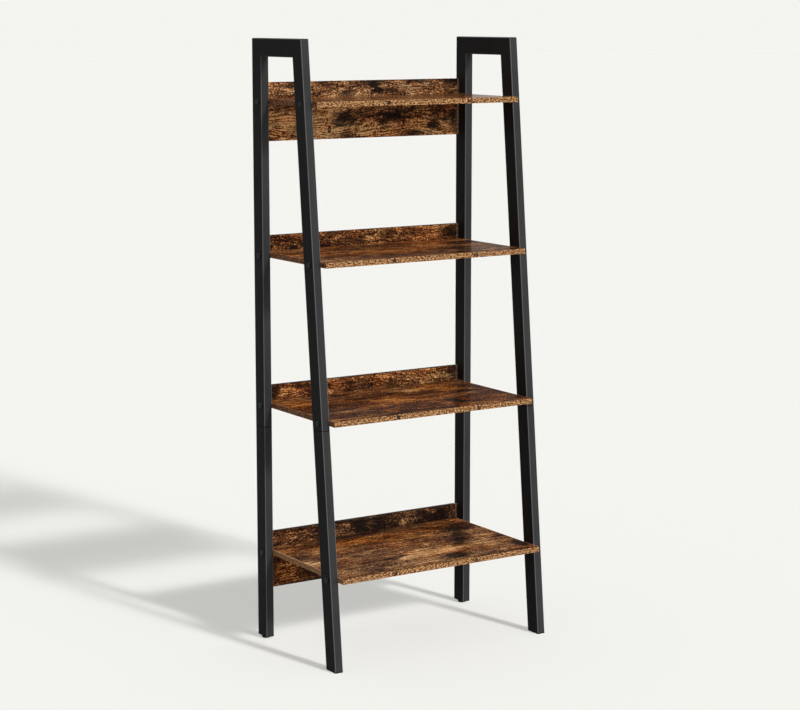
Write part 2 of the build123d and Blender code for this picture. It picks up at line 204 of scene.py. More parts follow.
# Fine texture of coat, plastic and zinc: its bumps and its slow shading, each as the noise's
# stretch, layers and strength of layers, then how far the shading changes colour and roughness
BUMP_NOISE = ((1.0, 1.0, 1.0), 2.0, 0.55)
SHADE_NOISE = ((9.0, 9.0, 5.0), 3.0, 0.6)
SHADE_STEP = (0.3, 0.7)
SHADE_ROUGHNESS = 0.10
ZINC_GRAIN = 260.0
ZINC_COLOUR_STEP = (0.35, 0.65)
ZINC_ROUGHNESS_FROM = (0.3, 0.7)
ZINC_ROUGHNESS = (0.28, 0.44)

# Marks of the print on each board's shown face, in millimetres: along the board, across it or, on
# a back board, up from the floor, half length, half width, and strength. Smoke is near black, gold
# is lighter than the rest, amber is redder, pale is greyer, and a knot is dark with a paler heart.
# Some smoke marks are painted reflections of the legs and painted shade along the back board, and
# some gold marks are painted light in the shade under a shelf, as noted at each.
SHELF_MARKS = {
    1: {
        "smoke_and_painted_shade": [
            (-100, 60, 60, 9, 0.5), (40, 90, 80, 11, 0.5), (180, 20, 50, 12, 0.55),
            (-190, 0, 40, 8, 0.4),
        ],
        "gold_and_painted_light": [(-20, 20, 70, 16, 0.3), (120, 70, 50, 14, 0.3)],
    },
    2: {
        "smoke_and_painted_shade": [
            (-118, 92, 36, 14, 0.75), (-72, 92, 30, 14, 0.85), (-15, 112, 30, 12, 0.6),
            (45, 80, 46, 13, 0.7), (-205, -24, 26, 11, 0.6), (-172, -76, 50, 12, 0.55),
            (-66, -76, 30, 12, 0.6), (0, -88, 44, 10, 0.5), (76, -26, 24, 18, 0.5),
            # (222, 84) to (106, -82) are a painted reflection of the right rear leg, (244, -92) one
            # of the right front leg
            (222, 84, 26, 22, 0.7), (192, 56, 24, 20, 0.85), (160, 6, 26, 22, 0.75),
            (134, -38, 26, 20, 0.85), (106, -82, 28, 20, 0.85), (244, -92, 18, 16, 0.6),
        ],
        "gold_and_painted_light": [
            (-40, 26, 60, 22, 0.5), (40, -10, 50, 30, 0.4), (192, -76, 34, 22, 0.6),
            (238, 20, 22, 30, 0.4),
        ],
        "amber": [(0, 10, 150, 70, 0.8), (140, 120, 90, 40, 0.9), (-190, 40, 60, 60, 0.6)],
    },
    3: {
        "smoke_and_painted_shade": [
            # (222, 88), (186, 28), (108, -68) and (66, -116) are a painted reflection of the right
            # rear leg, (244, -108) one of the right front leg, and (78, 156) painted shade along
            # the back board
            (-88, 127, 30, 13, 0.8), (-46, 68, 38, 10, 1.0), (-92, 74, 22, 8, 0.7),
            (22, 89, 26, 9, 0.8), (76, 46, 40, 14, 0.85), (-161, -28, 26, 8, 0.85),
            (-140, -82, 34, 13, 0.75), (-25, -82, 34, 11, 0.5), (108, -68, 22, 32, 0.95),
            (186, 28, 34, 18, 0.8), (222, 88, 22, 22, 0.75), (66, -116, 20, 8, 0.7),
            (244, -108, 20, 20, 0.7), (-100, 8, 14, 7, 0.6), (78, 156, 34, 7, 0.6),
        ],
        "gold_and_painted_light": [
            (-2, 8, 54, 30, 0.6), (96, 92, 50, 18, 0.5), (164, 78, 26, 46, 0.6),
            (30, -30, 70, 22, 0.3), (-230, 60, 26, 40, 0.5), (68, -72, 22, 16, 0.6),
        ],
        "amber": [
            (-220, 60, 60, 80, 1.0), (0, 0, 150, 80, 0.9), (165, 90, 60, 70, 1.0),
            (60, -90, 200, 40, 0.7),
        ],
    },
    4: {
        "smoke_and_painted_shade": [
            # (224, 106), (196, 74), (184, 46), (176, 34), (168, 18), (150, -12), (140, -28), (126,
            # -46) and (62, -132) are a painted reflection of the right rear leg, (246, -122) one of
            # the right front leg, and the long marks at 138 to 152 across are painted shade along
            # the back board
            (196, 74, 40, 34, 0.95), (184, 46, 28, 24, 0.8), (168, 18, 30, 24, 0.85),
            (150, -12, 30, 28, 0.95), (126, -46, 28, 18, 0.75), (62, -132, 36, 28, 0.9),
            (246, -122, 22, 28, 0.95), (-30, 150, 120, 15, 0.85), (120, 152, 90, 11, 0.7),
            (-84, 60, 36, 16, 0.65), (-88, -78, 20, 8, 1.0), (-38, -69, 16, 7, 1.0),
            (-240, 40, 26, 20, 0.65), (-14, 97, 12, 8, 0.7), (-112, -20, 40, 14, 0.35),
            (62, 40, 36, 14, 0.4), (224, 106, 30, 22, 0.75), (-30, 138, 140, 24, 0.6),
            (150, 138, 100, 20, 0.5), (176, 34, 30, 36, 0.9), (140, -28, 26, 30, 0.85),
        ],
        "gold_and_painted_light": [
            (-12, -74, 34, 32, 1.8), (-48, -90, 18, 12, 2.4), (40, -76, 66, 36, 1.1),
            (84, -62, 40, 28, 0.8), (190, -60, 56, 50, 0.6), (220, 20, 44, 60, 0.6),
            (-250, -10, 26, 20, 0.9), (-150, -112, 130, 44, 0.25), (160, -118, 90, 40, 0.35),
            (-20, -128, 90, 26, 0.4), (10, 20, 60, 30, 0.2),
        ],
        "amber": [(-60, 95, 110, 44, 1.0), (170, 115, 70, 30, 1.0), (50, 60, 60, 40, 0.35)],
        "pale": [
            (-140, -120, 160, 50, 1.0), (60, -142, 160, 28, 1.0), (205, -30, 60, 110, 0.5),
            (-230, -10, 60, 90, 0.6), (-110, -30, 80, 50, 0.7),
        ],
        "knots": [(-62, -76, 16, 9, 0.7)],
    },
}
BACK_MARKS = {
    1: {
        "smoke_and_painted_shade": [
            (-192, 1256, 20, 9, 0.8), (28, 1255, 22, 12, 0.95), (155, 1261, 22, 7, 0.7),
            (241, 1259, 28, 8, 0.85), (-205, 1228, 42, 11, 0.45), (-52, 1177, 36, 19, 0.95),
            (-12, 1189, 20, 8, 0.7), (75, 1181, 44, 16, 0.95), (108, 1188, 18, 8, 0.8),
            (53, 1167, 16, 8, 0.8), (188, 1161, 22, 12, 0.95), (224, 1171, 14, 10, 0.8),
            (247, 1174, 12, 26, 0.9), (253, 1150, 12, 14, 0.7), (-47, 1139, 25, 7, 0.6),
            (136, 1141, 28, 6, 0.8),
        ],
        "gold_and_painted_light": [
            # The marks below 1200 up are partly print and partly painted light in the shade under
            # the top shelf
            (-195, 1168, 90, 44, 1.0), (-100, 1155, 70, 32, 1.0), (50, 1150, 110, 26, 1.0),
            (175, 1165, 80, 38, 0.9), (0, 1195, 150, 20, 0.7), (142, 1240, 60, 16, 0.5),
            (-100, 1235, 80, 20, 0.25), (-226, 1152, 30, 14, 1.5), (-120, 1162, 34, 20, 1.2),
            (20, 1146, 50, 9, 1.3),
        ],
        "pale": [(0, 1247, 290, 34, 1.0)],
        "knots": [
            (39, 1241, 13, 10, 1.0), (-91, 1154, 5, 8, 1.0), (60, 1154, 14, 6, 0.4),
            (-226, 1206, 10, 9, 0.5),
        ],
    },
    2: {
        "smoke_and_painted_shade": [
            (-188, 889, 25, 11, 0.7), (-81, 918, 17, 8, 0.5), (-47, 906, 22, 16, 0.45),
            (130, 911, 31, 12, 0.5), (239, 906, 20, 12, 0.75), (-7, 897, 20, 11, 0.4),
            (60, 915, 28, 7, 0.35),
        ],
        "gold_and_painted_light": [
            (-220, 906, 22, 12, 0.5), (-104, 899, 30, 10, 0.4), (20, 908, 30, 10, 0.4),
            (193, 902, 25, 10, 0.35),
        ],
    },
    3: {
        "smoke_and_painted_shade": [
            (-240, 562, 17, 32, 0.9), (-15, 562, 36, 19, 0.65), (74, 554, 28, 9, 0.6),
            (246, 566, 14, 22, 0.9), (-56, 549, 31, 9, 0.5), (-200, 552, 28, 8, 0.4),
        ],
        "gold_and_painted_light": [
            (-219, 566, 14, 12, 0.8), (-173, 560, 26, 10, 0.35), (45, 575, 40, 8, 0.6),
            (193, 567, 30, 12, 0.7), (123, 562, 30, 10, 0.4),
        ],
    },
    4: {
        "smoke_and_painted_shade": [
            (-15, 224, 31, 24, 0.95), (36, 224, 22, 19, 0.7), (191, 217, 62, 19, 0.75),
            (249, 218, 20, 27, 0.5), (-120, 224, 42, 14, 0.4), (80, 230, 35, 8, 0.4),
            (-140, 140, 36, 26, 0.6), (40, 160, 84, 40, 0.6), (170, 150, 70, 34, 0.6),
            # (0, 113) is painted shade along the board's lower edge
            (-252, 140, 10, 40, 0.7), (0, 113, 262, 5, 0.9),
        ],
        "gold_and_painted_light": [
            (123, 219, 26, 12, 0.6), (-187, 210, 40, 14, 0.35), (-70, 216, 22, 14, 0.4),
            # (-205, 140) is partly painted light in the shade under the bottom shelf
            (-205, 140, 40, 34, 0.75),
        ],
        "amber": [(-205, 140, 60, 50, 0.7)],
        "pale": [(40, 226, 300, 30, 1.0)],
    },
}
BAND_KNOTS = [
    (-82, 1222, 7, 5, 1.0), (132, 1222, 8, 5, 0.8), (-89, 882, 7, 5, 1.0), (126, 882, 8, 5, 0.8),
    (-99, 542, 7, 5, 1.0), (116, 542, 8, 5, 0.8), (-128, 202, 7, 5, 1.0), (87, 202, 8, 5, 0.8),
]


class NodeBench:
    """Adds and joins the nodes of one material or one shared effect."""

    def __init__(self, tree):
        self.tree = tree

    def feed(self, socket, value):
        if isinstance(value, bpy.types.NodeSocket):
            self.tree.links.new(value, socket)
        else:
            socket.default_value = value

    def add(self, kind, values=None, **settings):
        node = self.tree.nodes.new("ShaderNode" + kind)
        for name, setting in settings.items():
            setattr(node, name, setting)
        for socket, value in (values or {}).items():
            self.feed(node.inputs[socket], value)
        return node

    def math(self, operation, first, second=0.0, third=0.0, clamp=False):
        values = {0: first, 1: second, 2: third}
        return self.add("Math", values, operation=operation, use_clamp=clamp).outputs[0]

    def size(self, value):
        return self.math("ABSOLUTE", value)

    def centred(self, value):
        """Noise that swings about nothing instead of about a half."""
        return self.math("SUBTRACT", value, 0.5)

    def vector(self, operation, first, second=(0.0, 0.0, 0.0)):
        return self.add("VectorMath", {0: first, 1: second}, operation=operation).outputs[0]

    def length(self, vector):
        return self.add("VectorMath", {0: vector}, operation="LENGTH").outputs["Value"]

    def parts(self, vector):
        return self.add("SeparateXYZ", {0: vector}).outputs

    def join(self, x, y, z):
        return self.add("CombineXYZ", {0: x, 1: y, 2: z}).outputs[0]

    def facing(self):
        """The direction in which the surface faces, in its three parts."""
        return self.parts(self.add("TexCoord").outputs["Normal"])

    def noise(self, place, stretch, layers, roughness):
        stretched = self.vector("MULTIPLY", place, stretch)
        values = {"Vector": stretched, "Scale": 1.0, "Detail": layers, "Roughness": roughness}
        return self.add("TexNoise", values).outputs

    def grain(self, place, along, across, layers, roughness):
        """Noise that is drawn out along the board."""
        return self.noise(place, (along, across, across), layers, roughness)

    def step(self, value, low, high):
        values = {"Value": value, "From Min": low, "From Max": high}
        return self.add("MapRange", values, interpolation_type="SMOOTHSTEP").outputs["Result"]

    def spread(self, value, low, high, to_low, to_high):
        reach = {"From Min": low, "From Max": high, "To Min": to_low, "To Max": to_high}
        return self.add("MapRange", {"Value": value, **reach}).outputs["Result"]

    def tint(self, share, first, second, blend="MIX"):
        node = self.add("Mix", data_type="RGBA", blend_type=blend)
        for index, value in ((0, share), (6, first), (7, second)):
            self.feed(node.inputs[index], (*value, 1.0) if isinstance(value, tuple) else value)
        return node.outputs[2]

    def ramp(self, value, stops):
        node = self.add("ValToRGB", {"Fac": value})
        elements = node.color_ramp.elements
        while len(elements) < len(stops):
            elements.new(0.5)
        for element, (position, colour) in zip(elements, stops):
            element.position = position
            element.color = (*colour, 1.0)
        return node.outputs["Color"]

    def effect(self, tree, **values):
        return self.add("Group", values, node_tree=tree).outputs


def new_effect(name, inputs, outputs):
    """An effect that several finishes share, with its named sockets."""
    tree = bpy.data.node_groups.new(name, "ShaderNodeTree")
    for way, sockets in (("INPUT", inputs), ("OUTPUT", outputs)):
        for socket, kind in sockets.items():
            tree.interface.new_socket(socket, in_out=way, socket_type="NodeSocket" + kind)
    given = tree.nodes.new("NodeGroupInput").outputs
    result = tree.nodes.new("NodeGroupOutput").inputs
    return NodeBench(tree), given, result


def ragged_edge_effect():
    """Uneven value that frays the outline of the marks along the grain."""
    bench, given, result = new_effect("ragged_edge", {"Place": "Vector"}, {"Ragged": "Float"})
    uneven = bench.grain(given["Place"], *RAGGED_NOISE)["Fac"]
    bench.feed(result["Ragged"], bench.centred(uneven))
    return bench.tree


def mark_effect(name, fray, shape_mask):
    """One placed mark, whose mask goes by how far a point is from its middle: one at its reach."""
    inputs = {
        "Place": "Vector", "Centre": "Vector", "Reach": "Vector",
        "Ragged": "Float", "Strength": "Float",
    }
    bench, given, result = new_effect(name, inputs, {"Mask": "Float"})
    offset = bench.vector("SUBTRACT", given["Place"], given["Centre"])
    away = bench.length(bench.vector("DIVIDE", offset, given["Reach"]))
    frayed = bench.math("MULTIPLY_ADD", given["Ragged"], fray, away)
    mask = bench.math("MULTIPLY", shape_mask(bench, frayed), given["Strength"])
    bench.feed(result["Mask"], mask)
    return bench.tree


def patch_mask(bench, away):
    """A soft patch: full inside its reach, fading at its edge."""
    return bench.step(away, *PATCH_EDGE)


def knot_mask(bench, away):
    """A knot: dark, with a small paler heart."""
    heart = bench.math("MULTIPLY", bench.step(away, *KNOT_HEART_EDGE), KNOT_HEART)
    return bench.math("SUBTRACT", bench.step(away, *KNOT_EDGE), heart)


def rustic_print_effect():
    """The wood print: stripes along the board, mottle, drifting smoky clouds, and its colours, with
    placed marks that include painted shade and painted light.
    """
    inputs = {
        "Place": "Vector", "Smoke": "Float", "Gold": "Float", "Amber": "Float", "Pale": "Float",
        "Tone": "Float", "Streaks": "Float", "Mottle": "Float",
    }
    outputs = {"Color": "Color", "Roughness": "Float", "Height": "Float"}
    bench, given, result = new_effect("rustic_print", inputs, outputs)
    drift = bench.grain(given["Place"], *DRIFT_NOISE)["Color"]
    sideways = bench.vector("SUBTRACT", drift, (0.5, 0.5, 0.5))
    shift = bench.vector("MULTIPLY", sideways, STRIPE_DRIFT)
    place = bench.vector("ADD", given["Place"], shift)
    broad = bench.grain(place, *BROAD_NOISE)["Fac"]
    streaks = bench.grain(place, *STREAK_NOISE)["Fac"]
    stripes = bench.grain(place, *STRIPE_NOISE)["Fac"]
    fibres = bench.grain(place, *FIBRE_NOISE)["Fac"]
    mottle = bench.grain(place, *MOTTLE_NOISE)["Fac"]
    clouds = bench.grain(place, *CLOUD_NOISE)["Fac"]
    across = bench.parts(place)["Y"]
    bend = bench.math("MULTIPLY", broad, RING_BEND)
    rings = bench.math("MULTIPLY_ADD", across, RINGS_PER_METRE, bend)
    lines = bench.math("SINE", bench.math("MULTIPLY", rings, 2 * math.pi))

    # How light the print is: the broad drift and the stripes first, then the finer figure
    shown = bench.math("MULTIPLY_ADD", given["Gold"], RINGS_IN_GOLD, RINGS_ELSEWHERE)
    weighed = (
        (bench.centred(broad), STRIPE_WEIGHT), (bench.centred(streaks), given["Streaks"]),
        (bench.centred(stripes), STRIPE_WEIGHT), (bench.centred(fibres), STRIPE_WEIGHT),
        (lines, shown), (bench.centred(mottle), given["Mottle"]), (given["Gold"], GOLD_WEIGHT),
    )
    tone = given["Tone"]
    for figure, weight in weighed:
        tone = bench.math("MULTIPLY_ADD", figure, weight, tone)

    # Smoke drifts over the print by itself and gathers where it is placed; the placed dark marks
    # include painted shade and painted reflections
    drifting = bench.math("MULTIPLY", bench.step(clouds, *SMOKE_STEP), DRIFTING_SMOKE)
    smoke_and_painted_shade = bench.math("MAXIMUM", drifting, given["Smoke"])
    patchy = bench.math("MULTIPLY_ADD", bench.centred(mottle), SMOKE_PATCHES, 1.0, clamp=True)
    smoke_and_painted_shade = bench.math("MULTIPLY", smoke_and_painted_shade, patchy, clamp=True)

    # Stains over the stripes' colours, with the smoke and the painted shade on top of them
    hue = bench.step(bench.grain(place, *HUE_NOISE)["Fac"], *HUE_STEP)
    stain = bench.tint(hue, REDDISH_STAIN, GOLDEN_STAIN)
    stain = bench.tint(given["Amber"], stain, AMBER_STAIN)
    stain = bench.tint(given["Pale"], stain, PALE_STAIN)
    colour = bench.tint(1.0, bench.ramp(tone, PRINT_COLOURS), stain, "MULTIPLY")
    bench.feed(result["Color"], bench.tint(smoke_and_painted_shade, colour, SMOKE_AND_PAINTED_SHADE_COLOUR))
    rough = bench.math("MULTIPLY_ADD", fibres, FIBRE_ROUGHNESS, SMOOTHEST_PRINT)
    bench.feed(result["Roughness"], rough)
    fine = bench.math("MULTIPLY", fibres, FIBRE_RELIEF)
    bench.feed(result["Height"], bench.math("MULTIPLY_ADD", stripes, STRIPE_RELIEF, fine))
    return bench.tree


def speckle_effect():
    """Chips of two sizes, as on the printed edge bands."""
    outputs = {"Light": "Float", "Dark": "Float", "Ragged": "Float"}
    bench, given, result = new_effect("speckle", {"Place": "Vector"}, outputs)
    chips = bench.grain(given["Place"], *CHIP_NOISE)["Fac"]
    elsewhere = bench.vector("ADD", given["Place"], FLECK_OFFSET)
    flecks = bench.grain(elsewhere, *FLECK_NOISE)["Fac"]
    bench.feed(result["Light"], bench.step(chips, *LIGHT_CHIP_STEP))
    bench.feed(result["Dark"], bench.step(flecks, *DARK_CHIP_STEP))
    bench.feed(result["Ragged"], bench.centred(chips))
    return bench.tree


def fine_texture_effect():
    """Small even bumps of a coated or moulded surface, with slow changes over it."""
    inputs = {"Place": "Vector", "Grain": "Float"}
    outputs = {"Height": "Float", "Shade": "Float"}
    bench, given, result = new_effect("fine_texture", inputs, outputs)
    values = {0: given["Place"], "Scale": given["Grain"]}
    scaled = bench.add("VectorMath", values, operation="SCALE").outputs[0]
    bench.feed(result["Height"], bench.noise(scaled, *BUMP_NOISE)["Fac"])
    bench.feed(result["Shade"], bench.noise(given["Place"], *SHADE_NOISE)["Fac"])
    return bench.tree


RAGGED_EDGE = ragged_edge_effect()
PRINT_AND_PAINTED_LIGHT_MARK = mark_effect("print_and_painted_light_mark", PATCH_FRAY, patch_mask)
PRINT_KNOT = mark_effect("print_knot", KNOT_FRAY, knot_mask)
RUSTIC_PRINT = rustic_print_effect()
SPECKLE = speckle_effect()
FINE_TEXTURE = fine_texture_effect()


def new_material(name):
    """A material with its shader, and the bench for its nodes."""
    material = bpy.data.materials.new(name)
    material.use_nodes = True
    return material, NodeBench(material.node_tree), material.node_tree.nodes["Principled BSDF"]


def new_finish(name):
    """A material, and the place on the part that its figure follows."""
    material, bench, shader = new_material(name)
    return material, bench, shader, bench.add("TexCoord").outputs["Object"]


def lay_on(bench, shader, colour, roughness, texture, strength, height):
    """Gives the shader its colour, its roughness and its relief."""
    bench.feed(shader.inputs["Base Color"], colour)
    bench.feed(shader.inputs["Roughness"], roughness)
    bump = bench.add("Bump", {"Strength": strength, "Distance": height, "Height": texture})
    bench.feed(shader.inputs["Normal"], bump.outputs["Normal"])


def add_marks(bench, effect, marks, place, ragged, depth):
    """The strongest of several marks at each point, each fading away through the board."""
    total = None
    for along, across, half_length, half_width, strength in marks:
        centre = (along * MM, across * MM, depth)
        reach = (half_length * MM, half_width * MM, MARK_DEPTH)
        mask = bench.effect(
            effect, Place=place, Centre=centre, Reach=reach, Ragged=ragged, Strength=strength,
        )["Mask"]
        total = mask if total is None else bench.math("MAXIMUM", total, mask)
    return 0.0 if total is None else total


def edges_painted_shade_and_light(bench, place, colour):
    """A back board's narrow edges: painted shade on the top and bottom faces, and at the ends a
    pale band lightened as painted light.
    """
    facing = bench.facing()
    chips = bench.effect(SPECKLE, Place=place)
    painted_edge_shade = bench.tint(chips["Light"], *BOARD_EDGE_PAINTED_SHADE_COLOURS)
    end_band_painted_light = bench.tint(chips["Light"], *BOARD_END_BAND_PAINTED_LIGHT_COLOURS)
    for direction, narrow_face_colour in (("Z", painted_edge_shade), ("X", end_band_painted_light)):
        turned = bench.step(bench.size(facing[direction]), *BOARD_EDGE_STEP)
        colour = bench.tint(turned, colour, narrow_face_colour)
    # The end band's colour also goes over the rim of the face, for the band's own thickness and,
    # widened, as painted light
    along = bench.size(bench.parts(place)["X"])
    return bench.tint(bench.step(along, BOARD_RIM_STARTS, BOARD_RIM_IS_FULL), colour, end_band_painted_light)


def laminate_finish(name, marks, depth, tone, figure, upright):
    """The wood print on one board, with the marks of its shown face."""
    material, bench, shader, place = new_finish(name)
    printed = place
    if upright:
        # On an upright board the height is the direction across the grain
        parts = bench.parts(place)
        printed = bench.join(parts["X"], parts["Z"], parts["Y"])
    ragged = bench.effect(RAGGED_EDGE, Place=printed)["Ragged"]
    masks = {}
    for kind in ("smoke_and_painted_shade", "knots", "gold_and_painted_light", "amber", "pale"):
        effect = PRINT_KNOT if kind == "knots" else PRINT_AND_PAINTED_LIGHT_MARK
        masks[kind] = add_marks(bench, effect, marks.get(kind, ()), printed, ragged, depth)
    wood = bench.effect(
        RUSTIC_PRINT, Place=printed, Smoke=bench.math("MAXIMUM", masks["smoke_and_painted_shade"], masks["knots"]),
        Gold=masks["gold_and_painted_light"], Amber=masks["amber"], Pale=masks["pale"],
        Tone=tone, Streaks=figure["streaks"], Mottle=figure["mottle"])
    colour = edges_painted_shade_and_light(bench, place, wood["Color"]) if upright else wood["Color"]
    shader.inputs["Specular IOR Level"].default_value = LAMINATE_SHINE
    lay_on(bench, shader, colour, wood["Roughness"], wood["Height"], *LAMINATE_RELIEF)
    return material


def edge_band_finish(name, direction, colours, fleck, fleck_share, roughness, knots=()):
    """A speckled band on a shelf's edge, with its figure along the band and up it."""
    material, bench, shader, place = new_finish(name)
    parts = bench.parts(place)
    strip = bench.join(parts[direction], parts["Z"], parts["X"] if direction == "Y" else 0.0)
    chips = bench.effect(SPECKLE, Place=strip)
    colour = bench.tint(chips["Light"], *colours)
    colour = bench.tint(bench.math("MULTIPLY", chips["Dark"], fleck_share), colour, fleck)
    if knots:
        knotty = add_marks(bench, PRINT_KNOT, knots, strip, chips["Ragged"], 0.0)
        colour = bench.tint(knotty, colour, BAND_KNOT_COLOUR)
    uneven = bench.spread(chips["Light"], 0.0, 1.0, *roughness)
    shader.inputs["Specular IOR Level"].default_value = BAND_SHINE
    lay_on(bench, shader, colour, uneven, chips["Light"], *BAND_RELIEF)
    return material


def painted_highlight_edges(bench):
    """The tubes' rounded edges, which look neither straight sideways nor straight across, where a
    highlight is painted.
    """
    sideways = bench.size(bench.facing()["X"])
    turned = bench.step(sideways, *TUBE_EDGE_FROM)
    return bench.math("MULTIPLY", turned, bench.step(sideways, *TUBE_EDGE_TO))


def painted_seam_shade_mask(bench, place):
    """The joints where the lower legs meet the upper frames, where a dark line of painted shade
    goes.
    """
    parts = bench.parts(place)
    values = {0: bench.vector("SUBTRACT", place, FRONT_LEG_FOOT), 1: FRONT_LEG_DIRECTION}
    along = bench.add("VectorMath", values, operation="DOT_PRODUCT").outputs["Value"]
    front = bench.size(bench.math("SUBTRACT", along, FRONT_SEAM_ALONG))
    rear = bench.size(bench.math("SUBTRACT", parts["Z"], REAR_SEAM_HEIGHT))
    behind = bench.math("GREATER_THAN", parts["Y"], REAR_LEGS_FROM_Y)
    away = bench.spread(behind, 0.0, 1.0, front, rear)
    return bench.step(away, SEAM_FADES_AT, SEAM_IS_FULL_AT)


def coated_finish(name, colours, grain, roughness, shine, relief, tubes=False):
    """A black coating or moulding: fine even texture, and a shade that changes slowly over it."""
    material, bench, shader, place = new_finish(name)
    texture = bench.effect(FINE_TEXTURE, Place=place, Grain=grain)
    colour = bench.tint(bench.step(texture["Shade"], *SHADE_STEP), *colours)
    if tubes:
        # On the tubes, a painted highlight along the rounded edges
        colour = bench.tint(painted_highlight_edges(bench), colour, PAINTED_EDGE_HIGHLIGHT)
        # and painted shade in the legs' seams
        colour = bench.tint(painted_seam_shade_mask(bench, place), colour, PAINTED_SEAM_SHADE)
    smoothest = roughness - SHADE_ROUGHNESS / 2
    uneven = bench.math("MULTIPLY_ADD", texture["Shade"], SHADE_ROUGHNESS, smoothest)
    shader.inputs["Specular IOR Level"].default_value = shine
    lay_on(bench, shader, colour, uneven, texture["Height"], relief, COAT_RELIEF_HEIGHT)
    return material


def zinc_finish():
    """Bright zinc with a fine cloudy grain."""
    material, bench, shader, place = new_finish("zinc_plated_steel")
    texture = bench.effect(FINE_TEXTURE, Place=place, Grain=ZINC_GRAIN)
    colour = bench.tint(bench.step(texture["Height"], *ZINC_COLOUR_STEP), *ZINC_COLOURS)
    uneven = bench.spread(texture["Height"], *ZINC_ROUGHNESS_FROM, *ZINC_ROUGHNESS)
    shader.inputs["Metallic"].default_value = 1.0
    lay_on(bench, shader, colour, uneven, texture["Height"], *ZINC_RELIEF)
    return material


POWDER_COAT = coated_finish(
    "black_powder_coat", POWDER_COAT_COLOURS,
    grain=1400.0, roughness=0.42, shine=0.015, relief=0.35, tubes=True)
BLACK_PLASTIC = coated_finish(
    "moulded_black_plastic", PLASTIC_COLOURS,
    grain=900.0, roughness=0.55, shine=0.02, relief=0.4)
BLACK_BOLT = coated_finish(
    "black_bolt_steel", BOLT_COLOURS,
    grain=2200.0, roughness=0.26, shine=0.10, relief=0.2)
ZINC = zinc_finish()
FRONT_BAND = edge_band_finish(
    "front_edge_band", "X", FRONT_BAND_COLOURS,
    fleck=FRONT_BAND_FLECK, fleck_share=0.9, roughness=(0.55, 0.45), knots=BAND_KNOTS)
END_BAND_PAINTED_LIGHT = edge_band_finish(
    "end_edge_band_painted_light", "Y", END_BAND_PAINTED_LIGHT_COLOURS,
    fleck=END_BAND_FLECK, fleck_share=0.55, roughness=(0.58, 0.48))
BOTTOM_END_BAND_PAINTED_LIGHT = edge_band_finish(
    "bottom_end_edge_band_painted_light", "Y", BOTTOM_END_BAND_PAINTED_LIGHT_COLOURS,
    fleck=END_BAND_FLECK, fleck_share=0.25, roughness=(0.58, 0.48))


def dress(node, material):
    """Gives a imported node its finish."""
    mesh = NODES[node].data
    mesh.materials.clear()
    mesh.materials.append(material)


def dress_frames():
    """Finishes of the side frames, their fasteners and their feet."""
    finishes = {
        "rear_upper_tube": POWDER_COAT, "top_rail": POWDER_COAT, "front_upper_tube": POWDER_COAT,
        "rear_lower_leg": POWDER_COAT, "front_lower_leg": POWDER_COAT,
        "rear_splice": ZINC, "front_splice": ZINC, "thread_sleeves": ZINC, "levelling_stud": ZINC,
        "rear_plug": BLACK_PLASTIC, "front_cap": BLACK_PLASTIC, "foot_pad": BLACK_PLASTIC,
        "shelf_bolts": BLACK_BOLT,
    }
    for side in SIDES:
        for piece, finish in finishes.items():
            dress(f"{side}_{piece}", finish)
    dress("back_board_screws", ZINC)


def dress_boards():
    """Finishes of the shelves, their bands and the back boards."""
    for number, top in enumerate(SHELF_TOPS, 1):
        shelf = laminate_finish(
            f"shelf_{number}_laminate", SHELF_MARKS[number], top,
            SHELF_TONES[number], SHELF_FIGURE, upright=False)
        back = laminate_finish(
            f"back_board_{number}_laminate", BACK_MARKS[number], BOARD_FRONT_Y,
            BACK_TONES[number], BACK_FIGURE, upright=True)
        dress(f"shelf_{number}", shelf)
        dress(f"back_board_{number}", back)
        dress(f"shelf_{number}_front_band", FRONT_BAND)
        # The bottom shelf's ends get a still lighter copy of the end band, as painted light
        end_band = BOTTOM_END_BAND_PAINTED_LIGHT if number == len(SHELF_TOPS) else END_BAND_PAINTED_LIGHT
        for side in SIDES:
            dress(f"shelf_{number}_{side}_end_band", end_band)


def thread_radius(turn, height):
    """Distance of the thread's surface from the stud's axis, tapered in at both ends."""
    groove = abs(2 * ((height / THREAD_PITCH - turn) % 1.0) - 1)
    sunk = min(1.0, max(0.0, groove * THREAD_FLANK - THREAD_CREST))
    from_end = min(height, STUD_LENGTH - height)
    return min(STUD_RADIUS - THREAD_DEPTH * sunk, STUD_RADIUS - STUD_END_TAPER + from_end)


def threaded_stud(side, x):
    """The levelling foot's stud with its thread, in place of the plain solid."""
    rows = round(STUD_LENGTH / THREAD_PITCH * THREAD_STEPS_PER_PITCH)
    shape = bmesh.new()
    rings = []
    for row in range(rows + 1):
        height = STUD_LENGTH * row / rows
        ring = []
        for step in range(THREAD_STEPS_ROUND):
            turn = step / THREAD_STEPS_ROUND
            angle = 2 * math.pi * turn
            radius = thread_radius(turn, height)
            sideways, forward = radius * math.cos(angle), radius * math.sin(angle)
            corner = (x + sideways, REAR_LEG_Y + forward, STUD_FOOT + height)
            ring.append(shape.verts.new(corner))
        rings.append(ring)
    for low, high in zip(rings, rings[1:]):
        for step in range(THREAD_STEPS_ROUND):
            after = (step + 1) % THREAD_STEPS_ROUND
            shape.faces.new((low[step], low[after], high[after], high[step])).smooth = True
    shape.faces.new(list(reversed(rings[0])))
    shape.faces.new(rings[-1])
    mesh = bpy.data.meshes.new(f"{side}_threaded_stud")
    shape.to_mesh(mesh)
    shape.free()
    mesh.materials.append(ZINC)
    stud = bpy.data.objects.new(f"{side}_threaded_stud", mesh)
    bpy.context.scene.collection.objects.link(stud)
    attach(stud, f"{side}_foot_stud")
    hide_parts(f"{side}_levelling_stud")


